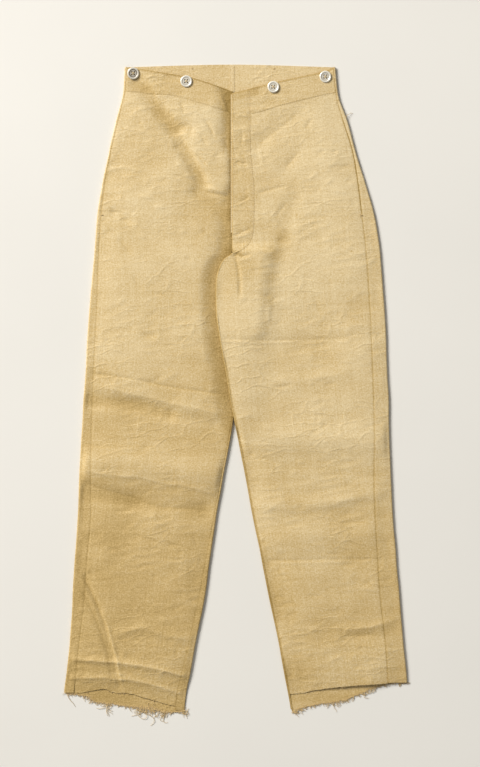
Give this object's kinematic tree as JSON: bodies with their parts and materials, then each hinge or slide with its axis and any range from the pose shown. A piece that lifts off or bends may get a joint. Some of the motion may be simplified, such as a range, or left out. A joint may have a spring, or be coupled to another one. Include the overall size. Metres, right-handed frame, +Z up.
{
  "type": "linen trousers",
  "caption": "High-waisted natural linen trousers laid flat, with a V-dip front waistband, lapped fly, metal brace buttons, straight legs and raw frayed hems.",
  "frame": {"origin": "middle of the bounding box's underside, on the surface that the trousers lie on", "axes": "+Y along the legs towards the waist, +Z up from the surface, +X towards the wearer's left side, with the front facing up"},
  "size_m": [0.55, 1.0666, 0.0103],
  "materials": {
    "linen": "plain-woven natural linen with a soft sheen and slubs",
    "button_metal": "stamped white metal, dulled"
  },
  "bodies": {
    "root": {"back_right": "linen", "back_left": "linen", "front_right": "linen", "front_left": "linen", "waistband_right": "linen", "waistband_left": "linen", "fly_placket": "linen", "fly_underlap": "linen", "centre_back_fell": "linen", "hem_fray_right": "linen", "hem_fray_left": "linen", "button_right_side": "button_metal", "button_right_front": "button_metal", "button_left_front": "button_metal", "button_left_side": "button_metal"}
  },
  "joints": []
}
